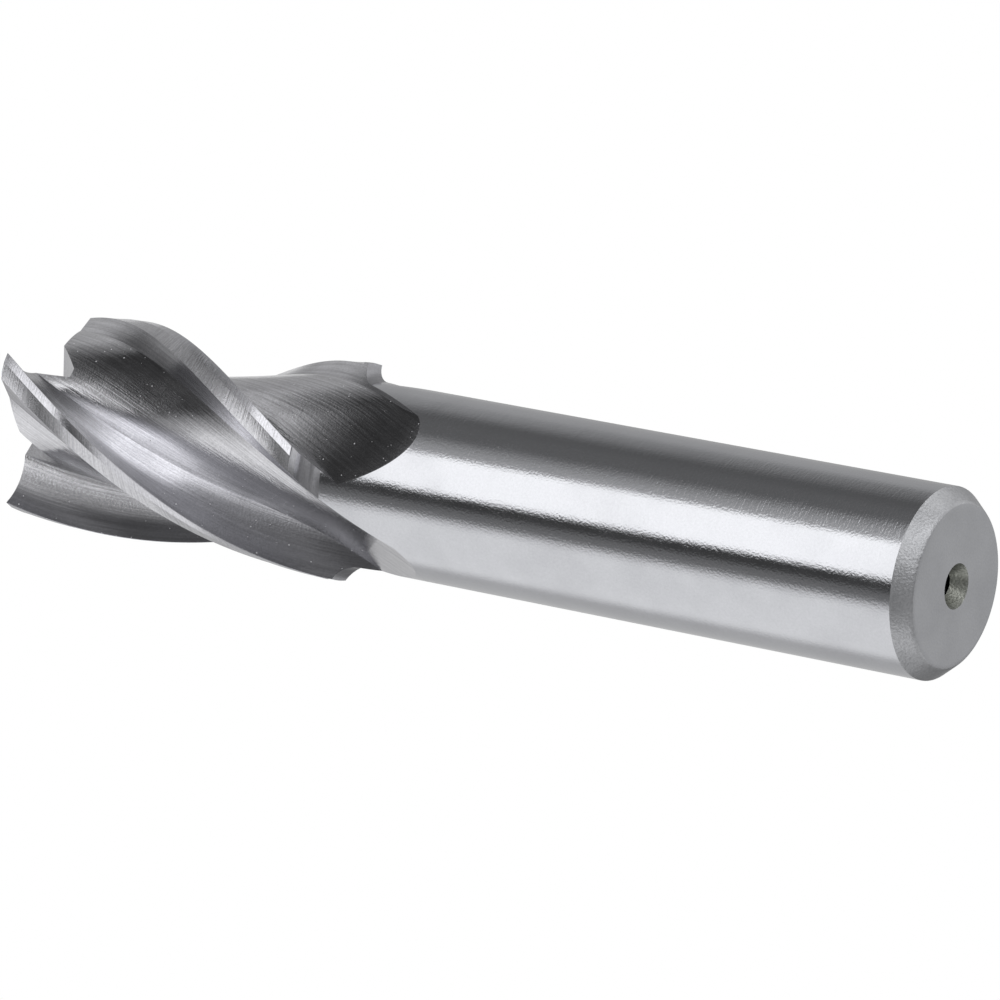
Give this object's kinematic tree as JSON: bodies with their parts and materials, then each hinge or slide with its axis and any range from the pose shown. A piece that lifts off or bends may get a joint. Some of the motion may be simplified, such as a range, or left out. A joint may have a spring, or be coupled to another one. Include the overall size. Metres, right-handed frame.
{
  "type": "end mill",
  "caption": "Solid end mill with a plain round shank, helical flutes with relieved lands and run-outs, dished end teeth, a concave shoulder and a centre hole in the shank end",
  "frame": {"origin": "centre of the shank's end face, which is the bottom of the part", "axes": "+Z runs along the tool's axis from the shank end to the cutting end; one tooth's end corner lies on +X"},
  "size_m": [0.019, 0.019, 0.092],
  "materials": {
    "ground_steel": "ground high-speed steel"
  },
  "bodies": {
    "root": {"endmill": "ground_steel"}
  },
  "joints": []
}
